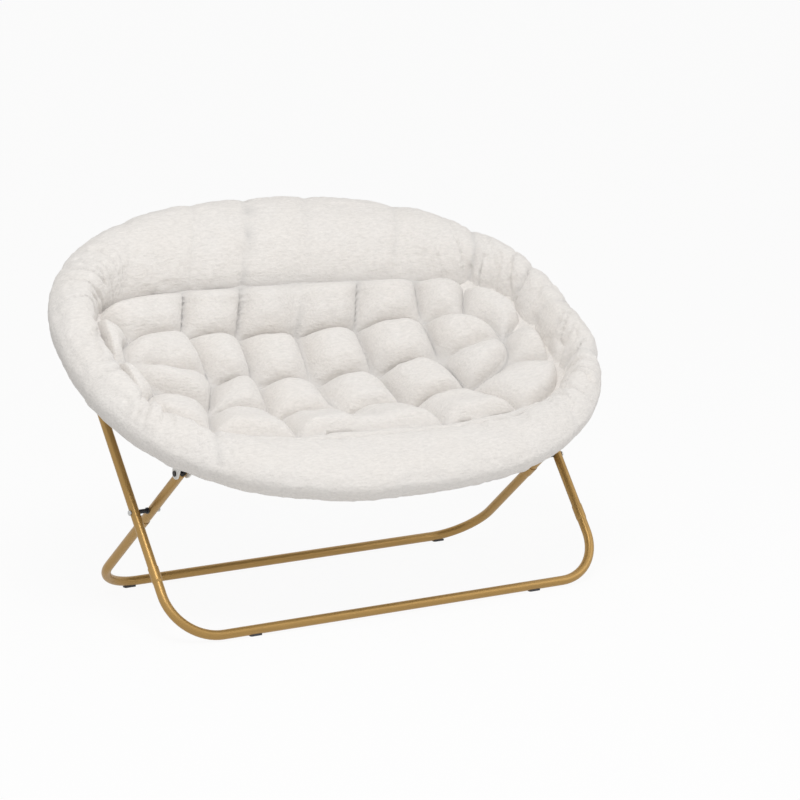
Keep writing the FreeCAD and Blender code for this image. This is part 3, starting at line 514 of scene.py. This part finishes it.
    # Painted shade: this mask darkens the plush's colour in the seams' hollows, and it also damps
    # the lumps there.
    hollow_and_painted_shade = np.where(wall, 1 - wall_shape, np.where(seat, 1 - seat_shape,
                                                     (1 - roll_seam) * (s > 0.05)))
    hollow_and_painted_shade = np.clip(hollow_and_painted_shade, 0, 1) ** 3
    # Painted shade under the back roll, along its crease.
    painted_shade_under_roll = np.exp(-((1 - s) / 0.16) ** 2) * on_roll * np.clip(np.sin(turn) * 2, 0, 1)
    hollow_and_painted_shade = np.maximum(hollow_and_painted_shade, 0.75 * painted_shade_under_roll)

    # band stitched along the front roll, with gathers outside it
    forward = np.clip((-np.sin(turn) - 0.55) / 0.2, 0, 1)[None, :]
    band = np.exp(-((s - BAND_AT) / 0.026) ** 2) * forward
    puff -= 19.0 * band
    # Painted shade in the band's groove.
    hollow_and_painted_shade = np.maximum(hollow_and_painted_shade, 0.7 * band)
    girth = np.cumsum(np.hypot(*(np.roll(outline, -1, axis=1) - outline)))[None, :]
    gather = np.exp(-((s - 0.50) / 0.09) ** 2) * forward * (s < 0.60)
    pleat = wander(np.stack([girth + 0 * s, 60 * s, 0 * s], axis=-1), 24.0, 5)
    puff += 6.0 * gather * pleat
    # gathers on the arms, round the ring's tight ends
    arm = np.clip((np.abs(np.cos(turn)) - 0.5) / 0.3, 0, 1)[None, :] * (s > 0.0) * (s < 1)
    creases = wander(np.stack([girth + 60 * s, 70 * s, 0 * s], axis=-1), 30.0, 9)
    puff -= 11.0 * arm * np.sin(np.pi * np.clip(s, 0, 1)) * np.exp(-(creases / 0.16) ** 2)
    # filling that settles unevenly, and the pile's tufts
    lump = wander(place + 500, 95.0, 3) * 4.0 + wander(place + 900, 42.0, 4) * 2.4
    lump = np.where(s < 0.2, np.maximum(lump, 0), lump)
    pile = wander(place + 300, 13.0, 7) * 1.1 + wander(place + 700, 7.5, 8) * 0.7
    soft = np.clip((s + 0.9) / 0.4, 0, 1)
    calm = np.clip((3 - s) / 0.08, 0, 1)
    place = place + normal * ((puff + (lump * (1 - hollow_and_painted_shade) + pile) * soft) * calm)[..., None]

    # cover sewn on a little askew: the inner rings lean with x
    skew = np.clip((s - 0.1) / 0.9, 0, 1)
    place[..., 1] -= SKEW * place[..., 0] * skew
    return place, hollow_and_painted_shade, s


class SAUCER_OT_cushion(bpy.types.Operator):
    """Quilted plush cushion: rim roll and two rings of pillows in one sewn cover"""
    bl_idname = "saucer.cushion"
    bl_label = "Cushion"

    def execute(self, context):
        chair = context.scene.saucer_chair
        place, hollow_and_painted_shade, s = cushion_surface(chair.cushion)
        points = to_world(place[..., 0], place[..., 1], place[..., 2])
        rows, columns = s.shape
        faces = grid_faces(rows, columns)
        cushion = build("cushion", points.reshape(-1, 3).tolist(), faces.tolist())
        mesh = cushion.data
        # depth in the seams, the mask of painted shade, carried over to the merged points by their
        # place
        co = np.empty(len(mesh.vertices) * 3)
        mesh.vertices.foreach_get("co", co)
        flat = np.round(points.reshape(-1, 3) * 1e5).astype(int)
        values = np.clip(hollow_and_painted_shade.reshape(-1), 0, 1)
        keys = dict(zip(map(tuple, flat), values))
        wanted = np.round(co.reshape(-1, 3) * 1e5).astype(int)
        depth = np.array([keys.get(tuple(k), 0.0) for k in wanted], np.float32)
        mesh.attributes.new("hollow_and_painted_shade", "FLOAT", "POINT").data.foreach_set("value", depth)
        mesh.materials.append(plush_pile(chair.finishes.plush))
        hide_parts("rim_roll_back", "rim_roll_front", "seat_pad")
        bend(cushion)
        return {"FINISHED"}


def bend(piece):
    """Bakes the piece's placement into its mesh."""
    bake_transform(piece)


class SAUCER_OT_sling(bpy.types.Operator):
    """Woven sling that carries the cushion, drawn in where the legs pass"""
    bl_idname = "saucer.sling"
    bl_label = "Sling"

    def execute(self, context):
        chair = context.scene.saucer_chair
        rows, columns = 96, 97
        # x = limit(v) u and v = half sin(q): the dish's oval, cut back beside the legs
        q = np.linspace(-np.pi / 2, np.pi / 2, rows)
        half_x, half_v = (SLING_TRIM * half for half in SLING_HALF)
        v = half_v * np.sin(q)
        oval_x = half_x * np.clip(1 - np.abs(v / half_v) ** SLING_POWER, 0, 1) ** (1 / SLING_POWER)
        widening = (SLING_BACK_HALF - SLING_FRONT_HALF) / (1 + np.exp(-(v + 110) / 30))
        legs = SLING_FRONT_HALF + widening
        edge = np.minimum(oval_x, legs)
        u = np.linspace(-1, 1, columns)
        x = edge[:, None] * u[None, :]
        vv = np.repeat(v[:, None], columns, axis=1)
        low = sling_height(x, vv)
        surface = [to_world(x, vv, low + lift) for lift in (0.0, SLING_THICK)]
        points = np.concatenate([part.reshape(-1, 3) for part in surface])
        r, c = np.meshgrid(np.arange(rows - 1), np.arange(columns - 1), indexing="ij")
        a = (r * columns + c).reshape(-1)
        quad = np.stack([a, a + 1, a + columns + 1, a + columns], axis=-1)
        upper = quad[:, ::-1] + rows * columns
        sides = []
        for column in (0, columns - 1):
            i = np.arange(rows - 1) * columns + column
            wall = np.stack([i, i + columns, i + columns + rows * columns, i + rows * columns],
                            axis=-1)
            sides.append(wall)
        faces = np.concatenate([quad, upper] + sides)
        sling = build("sling", points.tolist(), faces.tolist())
        sling.data.materials.append(woven_cloth(chair.finishes.cloth))
        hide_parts("sling_back", "sling_front")
        bend(sling)
        return {"FINISHED"}


class SAUCER_OT_frame(bpy.types.Operator):
    """Lacquered gold tube: leg frames, legs and the ring"""
    bl_idname = "saucer.frame"
    bl_label = "Tube frame"

    def execute(self, context):
        gold = satin_gold(context.scene.saucer_chair.finishes.gold)
        paint(gold, "front_floor_bar", "rear_floor_bar", "front_leg_left", "front_leg_right",
              "rear_leg_left", "rear_leg_right", "ring_back_tube", "ring_front_tube",
              "front_bracket_barrels")
        return {"FINISHED"}


class SAUCER_OT_fittings(bpy.types.Operator):
    """Brackets, hinge arms, bolts, spacers, plugs and glides"""
    bl_idname = "saucer.fittings"
    bl_label = "Fittings"

    def execute(self, context):
        tones = context.scene.saucer_chair.finishes
        paint(moulded_nylon("white_nylon", tones.white_nylon, 0.45), "back_bracket_left",
              "back_bracket_right", "front_bracket_left", "front_bracket_right")
        paint(moulded_nylon("black_nylon", tones.black_nylon, 0.5), "crossing_spacers",
              "front_leg_plugs", "rear_leg_plugs")
        paint(moulded_nylon("grey_polythene", tones.glide_grey, 0.6), "front_glides",
              "rear_glides")
        paint(plated_steel("zinc_plated_steel", tones.zinc, 1.0, 0.26, 0.4), "crossing_bolts",
              "crossing_nuts", "back_bracket_bolts", "back_bracket_nuts", "hinge_pins")
        paint(plated_steel("blackened_steel", tones.dark_steel, 0.6, 0.35, 0.5),
              "hinge_arm_outer_left", "hinge_arm_outer_right", "hinge_arm_inner_left",
              "hinge_arm_inner_right", "front_bracket_rivets")
        return {"FINISHED"}


# ---------------------------------------------------------------- stage
def seen_ray(tree):
    """1 for a ray from the camera, or seen through or in gloss."""
    path = add(tree, "ShaderNodeLightPath")
    first = add(tree, "ShaderNodeMath", {0: path.outputs["Is Camera Ray"],
                                         1: path.outputs["Is Glossy Ray"]}, operation="MAXIMUM")
    return add(tree, "ShaderNodeMath", {0: first.outputs[0],
                                        1: path.outputs["Is Transmission Ray"]},
               operation="MAXIMUM").outputs[0]


def lamp(name, place, aim, power, size):
    data = bpy.data.lights.new(name, "AREA")
    data.energy, data.size = power, size
    made = bpy.data.objects.new(name, data)
    made.location = place
    made.rotation_euler = (Vector(aim) - Vector(place)).to_track_quat("-Z", "Y").to_euler()
    bpy.context.scene.collection.objects.link(made)
    return made


class SAUCER_OT_stage(bpy.types.Operator):
    """Pale floor, soft studio light and the camera"""
    bl_idname = "saucer.stage"
    bl_label = "Studio"

    def execute(self, context):
        scene = context.scene
        stage = scene.saucer_chair.stage
        scene.view_settings.view_transform = "Standard"
        material, tree = blank("studio_floor")
        matt = add(tree, "ShaderNodeBsdfDiffuse", {"Color": (0.84, 0.84, 0.84, 1)})
        glow = add(tree, "ShaderNodeEmission", {"Color": (1, 1, 1, 1), "Strength": 1.0})
        seen = add(tree, "ShaderNodeMath", {0: seen_ray(tree), 1: 0.93}, operation="MULTIPLY")
        mixed = add(tree, "ShaderNodeMixShader", {0: seen.outputs[0], 1: matt.outputs[0],
                                                  2: glow.outputs[0]})
        close(material, mixed)
        corners = [(-30, -30), (30, -30), (30, 30), (-30, 30)]
        floor = build("studio_floor", [(x, y, FLOOR_Z) for x, y in corners], [(0, 1, 2, 3)], False)
        floor.data.materials.append(material)

        world = bpy.data.worlds.new("studio")
        scene.world = world
        world.use_nodes = True
        tree = world.node_tree
        tree.nodes.clear()
        room = add(tree, "ShaderNodeBackground", {"Color": (1, 0.99, 0.975, 1),
                                                  "Strength": stage.sky})
        plain = add(tree, "ShaderNodeBackground", {"Color": (1, 1, 1, 1), "Strength": 1.0})
        mixed = add(tree, "ShaderNodeMixShader", {0: seen_ray(tree), 1: room.outputs[0],
                                                  2: plain.outputs[0]})
        output = add(tree, "ShaderNodeOutputWorld")
        tree.links.new(mixed.outputs[0], output.inputs["Surface"])

        lamp("key_lamp", (-1.1, -1.9, 3.9), (0, 0, 0.45), stage.key, 1.5)
        lamp("fill_lamp", (2.8, -2.4, 2.0), (0, 0, 0.4), stage.fill, 2.2)

        az, el = math.radians(stage.azimuth), math.radians(stage.elevation)
        back = Vector((math.sin(az) * math.cos(el), -math.cos(az) * math.cos(el), math.sin(el)))
        side = Vector((math.cos(az), math.sin(az), 0))
        up = back.cross(side)
        data = bpy.data.cameras.new("camera")
        data.sensor_width, data.lens, data.shift_y = 36.0, stage.lens, stage.shift_up
        camera = bpy.data.objects.new("camera", data)
        turn = Matrix((side, up, back)).transposed().to_4x4()
        camera.matrix_world = Matrix.Translation(Vector(stage.aim) + back * stage.distance) @ turn
        scene.collection.objects.link(camera)
        scene.camera = camera
        return {"FINISHED"}


# ---------------------------------------------------------------- add-on
class SaucerChair(bpy.types.PropertyGroup):
    cushion: PointerProperty(type=CushionSizes)
    finishes: PointerProperty(type=Finishes)
    stage: PointerProperty(type=StageSettings)


class SAUCER_PT_panel(bpy.types.Panel):
    """Lists the chair's pieces and their settings"""
    bl_label = "Folding Saucer Chair"
    bl_idname = "SAUCER_PT_panel"
    bl_space_type = "VIEW_3D"
    bl_region_type = "UI"
    bl_category = "Saucer"

    def draw(self, context):
        chair = context.scene.saucer_chair
        for group in (chair.cushion, chair.finishes, chair.stage):
            column = self.layout.column()
            for key in group.bl_rna.properties.keys():
                if key not in ("rna_type", "name"):
                    column.prop(group, key)
        for operator in STEPS:
            self.layout.operator(operator.bl_idname)


STEPS = (SAUCER_OT_frame, SAUCER_OT_fittings, SAUCER_OT_sling, SAUCER_OT_cushion, SAUCER_OT_stage)
CLASSES = (CushionSizes, Finishes, StageSettings, SaucerChair, *STEPS, SAUCER_PT_panel)


def register():
    for kind in CLASSES:
        bpy.utils.register_class(kind)
    bpy.types.Scene.saucer_chair = PointerProperty(type=SaucerChair)


def unregister():
    del bpy.types.Scene.saucer_chair
    for kind in reversed(CLASSES):
        bpy.utils.unregister_class(kind)


def main():
    register()
    bpy.ops.saucer.frame()
    bpy.ops.saucer.fittings()
    bpy.ops.saucer.sling()
    bpy.ops.saucer.cushion()
    bpy.ops.saucer.stage()


if __name__ == "__main__":
    main()
